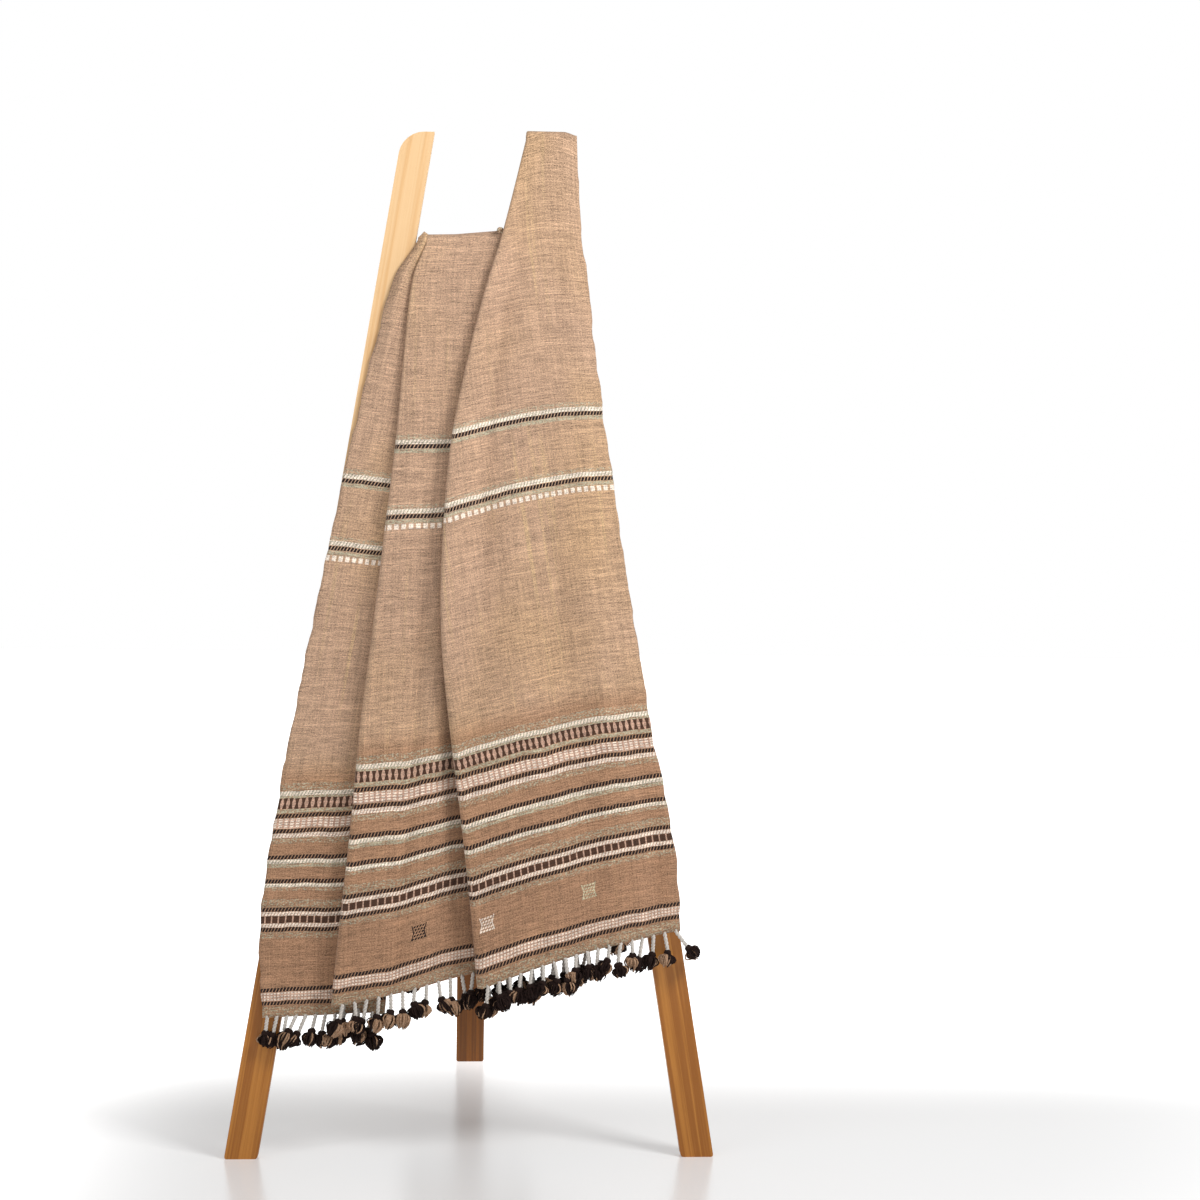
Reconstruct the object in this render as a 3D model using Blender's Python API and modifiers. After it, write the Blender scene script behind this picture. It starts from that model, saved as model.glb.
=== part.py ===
"""Wool throw blanket with tasselled hems, draped over a plain three-legged wooden easel stand.

Metres, +Z up. The stand's two rails face -Y and the rear leg slopes back towards +Y. The origin lies on
the floor under the middle of the whole object.

The throw is one sheet. Its cross-section at every height is the same zigzag: a right panel lies over a
middle panel, and the middle panel over a left one, each ending in a rolled fold edge. The sheet goes up
the rails, over the right rail's top and the crosspiece, and down behind over the rear leg.
"""

import random
from math import atan2, cos, hypot, pi, sin

import bmesh
import bpy
from mathutils import Vector

# Stand
RAIL_TOP_Z = 1.572          # of the right rail, under the throw
LEFT_RAIL_TOP_Z = 1.581
RAIL_FOOT_X = 0.3468        # centre of a rail at the floor
RAIL_SPLAY = 0.1579         # how far a rail moves inwards for each metre of height
RAIL_LEAN = 0.0630          # how far a rail moves back for each metre of height
BOARD_WIDTH = 0.050
BOARD_DEPTH = 0.020
RAIL_TOP_ROUND = 0.034
CROSS_TOP_Z = 1.405
CROSS_HEIGHT = 0.090
LEG_TOP_Z = 1.385
LEG_TOP_BACK_Y = 0.135      # back face of the rear leg at its top, from the rails' front face at the floor
LEG_SLOPE = 0.4167
LEG_DEPTH = 0.0217
HINGE_WIDTH = 0.040
HINGE_LEAF = 0.055
HINGE_SHEET = 0.0016
BARREL_RADIUS = 0.0032
BARREL_STEPS = 6
ROUND_STEPS = 6
FOOT_ROUND = 0.004
SEAT_GAP = 0.0003           # between pieces that touch

# Whole object: moves the rails' front face so that the origin is under the middle of the bounding box
FRONT_FACE_Y = -0.3370

# Throw
SHEET = 0.0020
CLEAR_AT_RIDGE = 0.0035     # sheet's middle to the wood, where it goes over an edge
FRONT_CLEAR_AT_HEM = 0.0140
BACK_CLEAR_AT_HEM = 0.0180
PITCH_AT_RIDGE = 0.0055     # between the layers of a fold
FRONT_PITCH_AT_HEM = 0.0160
BACK_PITCH_AT_HEM = 0.0230
PITCH_GROWTH = 1.1          # the pitch is full a little above the hem
RIDGE_DEPTH_RAIL = 0.020
RIDGE_DEPTH_CROSS = 0.050
RIDGE_SAG = (
    # part of the ridge's depth, sheet's middle to the wood
    (0.20, SEAT_GAP + SHEET / 2),
    (0.44, CLEAR_AT_RIDGE),
)
RESTS = (
    # from x, to x: on the crosspiece, then on the right rail's top, away from its edges
    (-0.070, 0.030),
    (0.085, 0.110),
)
LEG_HALF_CLEAR = 0.046      # half width of the flat that the cloth makes over the rear leg
RIGHT_PANEL_REST = 0.30     # how much of its fold's depth the right panel keeps at its selvedge
SWELL_DEPTH = 0.005
SWELL_TURNS = 2.6
SWELL_DRIFT = 2.0
SWELL_GROWTH = 1.4
LIFT_START = 0.008           # past an inner fold, where the cloth over a pleat starts to sink
LIFT_SLOPE = 6.0             # over how many pitches it sinks
TENT_ROUND = 0.012
SETTLE_POWER = 4

FRONT_ROWS = 22
BACK_ROWS = 20
RIDGE_ARC_STEPS = 2
TURN_STEPS = 3

# Where the selvedges and folds run at each height, as x. The photo gives the front ones that show.
LINE_NAMES = ("right", "fold_2", "inner_2", "fold_1", "inner_1", "left")
FRONT_LINES = (
    # z, right, fold_2, inner_2, fold_1, inner_1, left
    (0.20, 0.318, 0.014, 0.197, -0.214, -0.134, -0.315),
    (0.35, 0.318, 0.000, 0.190, -0.201, -0.122, -0.323),
    (0.50, 0.303, -0.017, 0.182, -0.186, -0.108, -0.304),
    (0.65, 0.272, -0.037, 0.172, -0.174, -0.094, -0.280),
    (0.80, 0.246, -0.052, 0.163, -0.157, -0.077, -0.251),
    (0.95, 0.223, -0.051, 0.155, -0.141, -0.058, -0.224),
    (1.10, 0.200, -0.039, 0.146, -0.125, -0.038, -0.193),
    (1.25, 0.180, -0.010, 0.136, -0.113, -0.014, -0.159),
    (1.35, 0.168, 0.015, 0.128, -0.102, 0.008, -0.131),
    (1.42, 0.158, 0.036, 0.124, -0.079, 0.027, -0.092),
    (1.58, 0.150, 0.074, 0.120, -0.078, 0.028, -0.091),
)
BACK_LINES = (
    # z, right, fold_2, inner_2, fold_1, inner_1, left, as distances along the tent from the rear leg
    (0.20, 0.580, 0.215, 0.385, -0.070, 0.006, -0.200),
    (0.60, 0.422, 0.180, 0.290, -0.068, 0.010, -0.165),
    (1.00, 0.267, 0.130, 0.205, -0.072, 0.018, -0.130),
    (1.42, 0.158, 0.080, 0.126, -0.079, 0.027, -0.093),
    (1.58, 0.150, 0.074, 0.120, -0.078, 0.028, -0.091),
)
TENT_RIGHT_X = 0.150        # the tent's right edge at the rail's top
TENT_SPREAD = 0.0507        # how far that edge moves out for each metre down

# Heights of the hem and of the edge that the cloth goes over, at each fold and selvedge
FOLD_HEIGHTS = {
    # front hem, back hem, edge
    "right": (0.347, 0.338, RAIL_TOP_Z),
    "fold_2": (0.263, 0.296, RAIL_TOP_Z),
    "inner_2": (0.320, 0.318, RAIL_TOP_Z),
    "fold_1": (0.236, 0.222, 1.406),
    "inner_1": (0.222, 0.226, 1.405),
    "left": (0.214, 0.206, 1.409),
}

# The five panels between them, from the right selvedge to the left
PANELS = (
    # name, starts at, ends at, cells, tassels a cell
    ("right_panel", "right", "fold_2", 9, 2),
    ("under_right", "fold_2", "inner_2", 5, 2),
    ("middle_panel", "inner_2", "fold_1", 11, 2),
    ("under_middle", "fold_1", "inner_1", 3, 1),
    ("left_panel", "inner_1", "left", 6, 2),
)

# The middle panel's own way over the stand: on the rail's top, down beside it, along the crosspiece
MIDDLE_EDGE = (
    # cell, x, z
    (0, 0.120, RAIL_TOP_Z),
    (1, 0.0945, RAIL_TOP_Z),
    (2, 0.0680, RAIL_TOP_Z + 0.0018),
    (5, 0.040, 1.410),
    (11, -0.078, 1.406),
)

# Fringe
STRIP_HEIGHT = 0.005
STRIP_GAP = 0.0005
CORD_WIDTH = 0.0030
TASSEL_SEED = 7
SHORTEST_TASSEL = 0.94
LONGEST_TASSEL = 1.06
TASSEL_RINGS = (
    # name, how far down, width
    ("cord_end", 0.0190, 0.0030),
    ("head", 0.0235, 0.0095),
    ("neck", 0.0275, 0.0060),
    ("skirt", 0.0370, 0.0120),
    ("tip", 0.0440, 0.0060),
)
SWUNG_TASSELS = (1.00, 0.42)    # sideways for each unit down, from the front's right selvedge on
SWUNG_FORWARD = -0.10

COLOURS = {
    # colour, roughness
    "wool": ((0.52, 0.31, 0.19, 1.0), 0.95),
    "fringe": ((0.05, 0.025, 0.02, 1.0), 0.95),
    "pine": ((0.72, 0.42, 0.16, 1.0), 0.45),
    "steel": ((0.55, 0.53, 0.50, 1.0), 0.40),
}


def clear_scene():
    for thing in list(bpy.data.objects):
        bpy.data.objects.remove(thing, do_unlink=True)


def material(name, kind):
    colour, roughness = COLOURS[kind]
    made = bpy.data.materials.new(name)
    made.use_nodes = True
    shader = made.node_tree.nodes["Principled BSDF"]
    shader.inputs["Base Color"].default_value = colour
    shader.inputs["Roughness"].default_value = roughness
    shader.inputs["Metallic"].default_value = 1.0 if kind == "steel" else 0.0
    return made


def add_object(name, shape, kind, collection):
    thing = bpy.data.objects.new(name, shape)
    collection.objects.link(thing)
    shape.materials.append(material(name + "_finish", kind))
    return thing


# Stand

def face_y(z):
    """The rails' front face at a height."""
    return FRONT_FACE_Y + RAIL_LEAN * z


def leg_back_y(z):
    """The rear leg's back face at a height."""
    return FRONT_FACE_Y + LEG_TOP_BACK_Y + LEG_SLOPE * (LEG_TOP_Z - z)


def board_mesh(name, width, depth, height, rounds, shear):
    """A board standing on the floor, with chosen corners of its face rounded, then sheared by the floor
    offset and the move in x and y for each metre of height."""
    mesh = bpy.data.meshes.new(name)
    shape = bmesh.new()
    bmesh.ops.create_cube(shape, size=1.0)
    for vert in shape.verts:
        vert.co = Vector((vert.co.x * width, vert.co.y * depth, (vert.co.z + 0.5) * height))
    for side, top, radius in rounds:
        edges = [
            edge for edge in shape.edges
            if all((v.co.x > 0) == (side > 0) and (v.co.z > height / 2) == top for v in edge.verts)
            and abs(edge.verts[0].co.y - edge.verts[1].co.y) > depth / 2
        ]
        steps = ROUND_STEPS if radius > BOARD_DEPTH else ROUND_STEPS // 2
        bmesh.ops.bevel(shape, geom=edges, offset=radius, segments=steps, profile=0.5, affect="EDGES")
    start, slope = shear
    for vert in shape.verts:
        vert.co.x += start[0] + slope[0] * vert.co.z
        vert.co.y += start[1] + slope[1] * vert.co.z
    bmesh.ops.recalc_face_normals(shape, faces=shape.faces)
    shape.to_mesh(mesh)
    shape.free()
    return mesh


def make_rail(side, collection):
    name = "rail_right" if side > 0 else "rail_left"
    top_z, top_round = (RAIL_TOP_Z, FOOT_ROUND) if side > 0 else (LEFT_RAIL_TOP_Z, RAIL_TOP_ROUND)
    rounds = [(1, False, FOOT_ROUND), (-1, False, FOOT_ROUND), (side, True, top_round)]
    start = (side * RAIL_FOOT_X, FRONT_FACE_Y + BOARD_DEPTH / 2)
    slope = (-side * RAIL_SPLAY, RAIL_LEAN)
    mesh = board_mesh(name, BOARD_WIDTH, BOARD_DEPTH, top_z, rounds, (start, slope))
    return add_object(name, mesh, "pine", collection)


def rail_inner_x(z):
    return RAIL_FOOT_X - RAIL_SPLAY * z - BOARD_WIDTH / 2


def make_crosspiece(collection):
    """A board between the rails, cut at their slope."""
    mesh = bpy.data.meshes.new("crosspiece")
    shape = bmesh.new()
    bmesh.ops.create_cube(shape, size=1.0)
    for vert in shape.verts:
        z = CROSS_TOP_Z + (vert.co.z - 0.5) * CROSS_HEIGHT
        half = rail_inner_x(z) - SEAT_GAP
        vert.co = Vector((2 * vert.co.x * half, face_y(z) + (vert.co.y + 0.5) * BOARD_DEPTH, z))
    shape.to_mesh(mesh)
    shape.free()
    return add_object("crosspiece", mesh, "pine", collection)


def make_rear_leg(collection):
    rounds = [(1, False, FOOT_ROUND), (-1, False, FOOT_ROUND)]
    start = (0.0, leg_back_y(0.0) - LEG_DEPTH / 2)
    mesh = board_mesh("rear_leg", BOARD_WIDTH, LEG_DEPTH, LEG_TOP_Z, rounds, (start, (0.0, -LEG_SLOPE)))
    return add_object("rear_leg", mesh, "pine", collection)


def make_hinge(collection):
    """Two leaves that meet in a barrel, in the wedge between the crosspiece and the rear leg."""
    cross_top = Vector((face_y(LEG_TOP_Z) + BOARD_DEPTH + SEAT_GAP, LEG_TOP_Z))
    leg_top = Vector((leg_back_y(LEG_TOP_Z) - LEG_DEPTH - SEAT_GAP, LEG_TOP_Z))
    cross_leaf = Vector((-RAIL_LEAN, -1.0)).normalized() * HINGE_LEAF
    leg_leaf = Vector((LEG_SLOPE, -1.0)).normalized() * HINGE_LEAF
    cross_sheet = Vector((-cross_leaf.y, cross_leaf.x)).normalized() * HINGE_SHEET
    leg_sheet = Vector((leg_leaf.y, -leg_leaf.x)).normalized() * HINGE_SHEET
    barrel = (cross_top + leg_top) / 2
    reach = (leg_top.x - cross_top.x) / 2
    outline = [cross_top + cross_leaf + cross_sheet, cross_top + cross_leaf, cross_top]
    for step in range(1, BARREL_STEPS):
        angle = pi - step * pi / BARREL_STEPS
        outline.append(barrel + Vector((reach * cos(angle), BARREL_RADIUS * sin(angle))))
    outline += [leg_top, leg_top + leg_leaf, leg_top + leg_leaf + leg_sheet]
    outline.append(barrel - Vector((0.0, BARREL_RADIUS)))
    curve = bpy.data.curves.new("leg_hinge", "CURVE")
    curve.dimensions = "2D"
    curve.fill_mode = "BOTH"
    curve.extrude = HINGE_WIDTH / 2
    spline = curve.splines.new("POLY")
    spline.points.add(len(outline) - 1)
    for point, place in zip(spline.points, outline):
        point.co = (place.x, place.y, 0.0, 1.0)
    spline.use_cyclic_u = True
    thing = add_object("leg_hinge", curve, "steel", collection)
    thing.rotation_euler = (pi / 2, 0.0, pi / 2)
    return thing


# Throw

def smooth_step(value):
    value = max(0.0, min(1.0, value))
    return value * value * (3.0 - 2.0 * value)


def line_x(table, name, z):
    """Where a fold or selvedge runs at a height: a cubic through the table's rows."""
    column = LINE_NAMES.index(name) + 1
    z = max(table[0][0], min(table[-1][0], z))
    low = max(i for i in range(len(table) - 1) if table[i][0] <= z)
    slopes = []
    for i in (low, low + 1):
        before, after = table[max(i - 1, 0)], table[min(i + 1, len(table) - 1)]
        slopes.append((after[column] - before[column]) / (after[0] - before[0]))
    span = table[low + 1][0] - table[low][0]
    t = (z - table[low][0]) / span
    a, b = table[low][column], table[low + 1][column]
    return (
        (2 * t**3 - 3 * t**2 + 1) * a + (t**3 - 2 * t**2 + t) * span * slopes[0]
        + (3 * t**2 - 2 * t**3) * b + (t**3 - t**2) * span * slopes[1]
    )


def throw_columns():
    """One entry for each column of the sheet: its panel, how far along it, and its angle round a fold.
    Folds to the left (fold_1, fold_2) and to the right (inner_1, inner_2) take turns."""
    columns = []
    for index, (_, _, _, cells, _) in enumerate(PANELS):
        columns += [(index, cell / cells, None) for cell in range(cells + 1)]
        if index < len(PANELS) - 1:
            columns += [(index, 1.0, step * pi / TURN_STEPS) for step in range(1, TURN_STEPS)]
    return columns


def middle_edge(cell):
    """x and z along the middle panel's way over the stand."""
    cell = max(MIDDLE_EDGE[0][0], min(MIDDLE_EDGE[-1][0], cell))
    low = max(i for i in range(len(MIDDLE_EDGE) - 1) if MIDDLE_EDGE[i][0] <= cell)
    (c0, x0, z0), (c1, x1, z1) = MIDDLE_EDGE[low], MIDDLE_EDGE[low + 1]
    part = (cell - c0) / (c1 - c0)
    return Vector((x0 + (x1 - x0) * part, z0 + (z1 - z0) * part))


def edge_place(column):
    """x and z of the edge that a column goes over, and which way is out from that edge."""
    index, along, _ = column
    name, starts, ends, cells, _ = PANELS[index]
    if name == "middle_panel":
        run = middle_edge(along * cells + 1) - middle_edge(along * cells - 1)
        return middle_edge(along * cells), Vector((run.y, -run.x)).normalized()
    z = FOLD_HEIGHTS[starts][2] * (1 - along) + FOLD_HEIGHTS[ends][2] * along
    x0, x1 = line_x(FRONT_LINES, starts, z), line_x(FRONT_LINES, ends, z)
    return Vector((x0 + (x1 - x0) * along, z)), Vector((0.0, 1.0))


def hem_z(column, back):
    index, along, _ = column
    _, starts, ends, _, _ = PANELS[index]
    side = 1 if back else 0
    return FOLD_HEIGHTS[starts][side] * (1 - along) + FOLD_HEIGHTS[ends][side] * along


def pitch(down, back):
    """Between layers, from the ridge (down = 0) to the hem (down = 1)."""
    at_hem = BACK_PITCH_AT_HEM if back else FRONT_PITCH_AT_HEM
    return PITCH_AT_RIDGE + (at_hem - PITCH_AT_RIDGE) * smooth_step(down * PITCH_GROWTH)


def base_clear(down, back):
    at_hem = BACK_CLEAR_AT_HEM if back else FRONT_CLEAR_AT_HEM
    return CLEAR_AT_RIDGE + (at_hem - CLEAR_AT_RIDGE) * smooth_step(down)


def section_point(column, z, down, table, edge_x):
    """Where a column runs at a height: its line's x, how far it turns aside round a fold, and its
    distance out from the stand."""
    back = table is BACK_LINES
    index, along, angle = column
    name, starts, ends, _, _ = PANELS[index]
    gap = pitch(down, back)
    roll = gap / 2
    x0, x1 = line_x(table, starts, z), line_x(table, ends, z)
    towards = 1 if ends in ("fold_1", "fold_2", "left") else -1
    start_trim = 0.0 if starts == "right" else -towards * roll
    end_trim = 0.0 if ends == "left" else towards * roll
    if name == "middle_panel" and 0.0 < along < 1.0:
        edge_part = (x0 - edge_x) / (x0 - x1)
        along += (edge_part - along) * smooth_step(1 - down)**2
    x = x0 + (x1 - x0) * along
    aside = start_trim + (end_trim - start_trim) * along
    # How far the left pleat lifts what lies over it, and the right pleat the right panel
    inner_1, inner_2 = line_x(table, "inner_1", z), line_x(table, "inner_2", z)
    over_left = 1 - smooth_step((x - inner_1 - LIFT_START) / (LIFT_SLOPE * gap))
    over_right = 1 - (1 - RIGHT_PANEL_REST) * smooth_step((x - inner_2 - LIFT_START) / (LIFT_SLOPE * gap))
    layers = (
        2.0 * over_left + 2.0 * over_right,
        2.0 * over_left + 1.0,
        2.0 * over_left,
        1.0,
        0.0,
    )
    out = layers[index] * gap
    if ends == "fold_1":
        out = max(out, 2.0 * gap * over_left)
    if angle is not None:
        aside = towards * roll * (1 - sin(angle))
        out = (layers[index] + layers[index + 1]) / 2 * gap + roll * cos(angle)
    if name == "right_panel" and not back:
        wave = sin(pi * along) * sin(SWELL_TURNS * pi * along + SWELL_DRIFT * z)
        out += SWELL_DEPTH * smooth_step(down * SWELL_GROWTH) * (1 + wave) / 2
    return x, aside, base_clear(down, back) + out


def tent_point(along, aside, out, z):
    """A point behind, by its distance along the tent from the middle of the rear leg, and out from it.
    The tent is flat over the leg and falls away to both sides."""
    right_y = face_y(RAIL_TOP_Z) + RIDGE_DEPTH_RAIL
    right_x = TENT_RIGHT_X + TENT_SPREAD * (RAIL_TOP_Z - z)
    apex_y = leg_back_y(min(z, LEG_TOP_Z))
    fall = atan2(apex_y - right_y, right_x - LEG_HALF_CLEAR)
    along += aside
    sign = 1 if along > 0 else -1
    beyond = abs(along) - LEG_HALF_CLEAR
    rounded = hypot(beyond, TENT_ROUND)
    down_side = (beyond + rounded) / 2
    turned = fall * (1 + beyond / rounded) / 2
    x = abs(along) - down_side * (1 - cos(fall)) + out * sin(turned)
    return Vector((sign * x, apex_y - down_side * sin(fall) + out * cos(turned), z))


def ridge_depth(z):
    """The wood's depth under the ridge: one board at the rail, the crosspiece and leg in the middle."""
    part = smooth_step((RAIL_TOP_Z - z) / (RAIL_TOP_Z - CROSS_TOP_Z))
    return RIDGE_DEPTH_RAIL + (RIDGE_DEPTH_CROSS - RIDGE_DEPTH_RAIL) * part


def column_points(column):
    """A column of the sheet's middle surface, from the front hem over the ridge to the back hem."""
    (edge_x, edge_z), up = edge_place(column)
    points = []
    low = hem_z(column, back=False)
    for row in range(FRONT_ROWS):
        z = low + (edge_z - low) * row / FRONT_ROWS
        x, aside, out = section_point(column, z, 1 - row / FRONT_ROWS, FRONT_LINES, edge_x)
        points.append(Vector((x + aside, face_y(z) - out, z)))
    x, aside, out = section_point(column, edge_z, 0.0, FRONT_LINES, edge_x)
    front_corner = Vector((x + aside, face_y(edge_z), edge_z))
    back_corner = front_corner + Vector((0.0, ridge_depth(edge_z), 0.0))
    for corner, start in ((front_corner, 0.0), (back_corner, pi / 2)):
        for step in range(RIDGE_ARC_STEPS + 1):
            angle = start + step * pi / 2 / RIDGE_ARC_STEPS
            points.append(corner + out * Vector((up.x * sin(angle), -cos(angle), up.y * sin(angle))))
        if corner is front_corner:
            for part, clear in RIDGE_SAG:
                rests = any(low_x < x + aside < high_x for low_x, high_x in RESTS)
                above = out - (CLEAR_AT_RIDGE - clear) * rests
                points.append(front_corner.lerp(back_corner, part) + above * Vector((up.x, 0.0, up.y)))
    # Behind, each row starts from where the ridge ends and settles onto the tent
    ridge_end = points[-1]
    start = tent_point(*section_point(column, edge_z, 0.0, BACK_LINES, edge_x), edge_z)
    low = hem_z(column, back=True)
    for row in range(1, BACK_ROWS + 1):
        down = row / BACK_ROWS
        z = edge_z + (low - edge_z) * down
        settled = tent_point(*section_point(column, z, down, BACK_LINES, edge_x), z)
        points.append(settled + (ridge_end - start) * (1 - down)**SETTLE_POWER)
    return points


def sheet_mesh(name, columns):
    """A grid of quads through the columns."""
    mesh = bpy.data.meshes.new(name)
    shape = bmesh.new()
    grid = [[shape.verts.new(point) for point in column] for column in columns]
    for left, right in zip(grid, grid[1:]):
        for row in range(len(left) - 1):
            shape.faces.new((left[row], left[row + 1], right[row + 1], right[row]))
    shape.to_mesh(mesh)
    shape.free()
    return mesh


def make_throw(columns, collection):
    mesh = sheet_mesh("throw", columns)
    mesh.shade_smooth()
    thing = add_object("throw", mesh, "wool", collection)
    solid = thing.modifiers.new("thickness", "SOLIDIFY")
    solid.thickness = SHEET
    solid.offset = 0.0
    return thing


# Fringe

def strip_stations(hem, inside, columns):
    """Points along a hem for the strip, each with the sheet's direction there and whether a tassel
    starts at it: the sheet's own columns, and the two sides of each tassel's cord."""
    drops = [(low - high).normalized() for low, high in zip(hem, inside)]
    stations = []
    for number in range(len(hem) - 1):
        a, b = hem[number], hem[number + 1]
        stations.append((a, drops[number], False))
        here, following = columns[number], columns[number + 1]
        if here[2] is not None or following[2] is not None:
            continue
        tassels = PANELS[here[0]][4]
        half = CORD_WIDTH / 2 / (b - a).length
        for tassel in range(tassels):
            middle = (tassel + 0.5) / tassels
            for part, starts in ((middle - half, True), (middle + half, False)):
                stations.append((a.lerp(b, part), drops[number].lerp(drops[number + 1], part), starts))
    stations.append((hem[-1], drops[-1], False))
    return stations


def hang_direction(root, drop, order, back):
    """Which way a tassel hangs: down, along the rear leg where it lies on it, swung at the corner."""
    if back:
        on_leg = 1 - smooth_step(abs(root.x) / LEG_HALF_CLEAR / 2 - 1)
        return Vector((0.0, LEG_SLOPE * on_leg, -1.0)).normalized()
    if order < len(SWUNG_TASSELS):
        return Vector((SWUNG_TASSELS[order], SWUNG_FORWARD, -1.0)).normalized()
    return Vector((0.0, 0.0, -1.0))


def strip_ring(stations, number):
    """The strip's four corners at a station: its thickness is the sheet's, its gap runs down the sheet."""
    point, drop, _ = stations[number]
    before, after = stations[max(number - 1, 0)][0], stations[min(number + 1, len(stations) - 1)][0]
    side = drop.cross(after - before).normalized() * SHEET / 2
    top = point + drop * STRIP_GAP
    bottom = top + drop * STRIP_HEIGHT
    return top - side, top + side, bottom + side, bottom - side


def grow_tassel(shape, root, down, longer):
    """Pull a small face of the strip out into a cord with a tassel at its end."""
    centre = root.calc_center_median()
    corners = [vert.co - centre for vert in root.verts]
    along = max((corners[i] - corners[i - 1] for i in range(4)), key=lambda edge: abs(edge.x) + abs(edge.y))
    across = down.cross(along).normalized()
    along = across.cross(down).normalized()
    face = root
    for _, drop, width in TASSEL_RINGS:
        face = bmesh.ops.extrude_discrete_faces(shape, faces=[face])["faces"][0]
        place = centre + down * drop * longer
        for vert, corner in zip(face.verts, corners):
            right = 1 if corner.dot(along) > 0 else -1
            front = 1 if corner.dot(across) > 0 else -1
            vert.co = place + (along * right + across * front) * width / 2


def make_fringe(name, points, columns, back, collection):
    """A narrow strip under the hem, with a tassel on a cord grown from each of its small bottom faces."""
    chance = random.Random(TASSEL_SEED + back)
    if back:
        hem, inside = [column[-1] for column in points], [column[-2] for column in points]
    else:
        hem, inside = [column[0] for column in points], [column[1] for column in points]
    stations = strip_stations(hem, inside, columns)
    shape = bmesh.new()
    rings = []
    for number in range(len(stations)):
        rings.append([shape.verts.new(corner) for corner in strip_ring(stations, number)])
    shape.faces.new(rings[0])
    shape.faces.new(list(reversed(rings[-1])))
    roots = []
    for number, (ring, following) in enumerate(zip(rings, rings[1:])):
        for corner in range(4):
            other = (corner + 1) % 4
            face = shape.faces.new((ring[other], ring[corner], following[corner], following[other]))
            if corner == 2 and stations[number][2]:
                roots.append((face, stations[number][1]))
    for order, (root, drop) in enumerate(roots):
        down = hang_direction(root.calc_center_median(), drop, order, back)
        grow_tassel(shape, root, down, chance.uniform(SHORTEST_TASSEL, LONGEST_TASSEL))
    bmesh.ops.recalc_face_normals(shape, faces=shape.faces)
    mesh = bpy.data.meshes.new(name)
    shape.to_mesh(mesh)
    shape.free()
    return add_object(name, mesh, "fringe", collection)


def main():
    clear_scene()
    collection = bpy.data.collections.new("throw_on_easel_stand")
    bpy.context.scene.collection.children.link(collection)
    make_rail(-1, collection)
    make_rail(1, collection)
    make_crosspiece(collection)
    make_rear_leg(collection)
    make_hinge(collection)
    columns = throw_columns()
    points = [column_points(column) for column in columns]
    make_throw(points, collection)
    make_fringe("fringe_front", points, columns, False, collection)
    make_fringe("fringe_back", points, columns, True, collection)


main()
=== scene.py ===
"""Looks of the wool throw on its easel stand: woven stripes, soft folds, tassels and varnished pine.

Metres, +Z up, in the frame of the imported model. The throw's shape repeats the model's tables and
functions with finer steps, then adds creases.
"""

import random
from math import atan, atan2, cos, hypot, pi, radians, sin

import bmesh
import bpy
from mathutils import Matrix, Vector


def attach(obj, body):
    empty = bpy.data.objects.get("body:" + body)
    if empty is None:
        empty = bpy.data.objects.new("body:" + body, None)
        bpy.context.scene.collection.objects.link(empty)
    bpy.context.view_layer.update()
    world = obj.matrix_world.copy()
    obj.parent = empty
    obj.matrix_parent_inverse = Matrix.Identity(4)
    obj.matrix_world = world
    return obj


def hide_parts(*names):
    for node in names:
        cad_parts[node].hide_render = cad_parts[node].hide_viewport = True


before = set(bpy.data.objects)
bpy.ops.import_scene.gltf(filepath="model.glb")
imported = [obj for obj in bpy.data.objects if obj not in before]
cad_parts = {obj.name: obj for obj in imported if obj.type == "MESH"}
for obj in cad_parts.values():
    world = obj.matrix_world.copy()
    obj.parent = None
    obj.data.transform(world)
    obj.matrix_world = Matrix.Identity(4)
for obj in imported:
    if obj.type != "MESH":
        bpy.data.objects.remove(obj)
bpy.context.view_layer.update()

# Camera, as worked out from the stand in the photograph
CAMERA_PLACE = (-0.0117, -3.643, 0.851)
CAMERA_YAW = 3.47
CAMERA_ROLL = 0.60
CAMERA_LENS = 65.1
CAMERA_SENSOR = 36.0

# The model's own sizes; the layers lie a little closer on the crosspiece here
RAIL_TOP_Z = 1.572
RAIL_SPLAY = 0.1579
RAIL_LEAN = 0.0630
CROSS_TOP_Z = 1.405
LEG_TOP_Z = 1.385
LEG_TOP_BACK_Y = 0.135
LEG_SLOPE = 0.4167
FRONT_FACE_Y = -0.3370
SHEET = 0.0018
CLEAR_AT_RIDGE = 0.0035
FRONT_CLEAR_AT_HEM = 0.0140
BACK_CLEAR_AT_HEM = 0.0180
PITCH_AT_RIDGE = 0.0044
FRONT_PITCH_AT_HEM = 0.0160
BACK_PITCH_AT_HEM = 0.0230
PITCH_GROWTH = 1.1
RIDGE_DEPTH_RAIL = 0.020
RIDGE_DEPTH_CROSS = 0.050
LEG_HALF_CLEAR = 0.046
RIGHT_PANEL_REST = 0.30
SWELL_DEPTH = 0.005
SWELL_TURNS = 2.6
SWELL_DRIFT = 2.0
SWELL_GROWTH = 1.4
LIFT_START = 0.008
LIFT_SLOPE = 6.0
TENT_ROUND = 0.012
SETTLE_POWER = 4
TENT_RIGHT_X = 0.150
TENT_SPREAD = 0.0507

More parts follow.
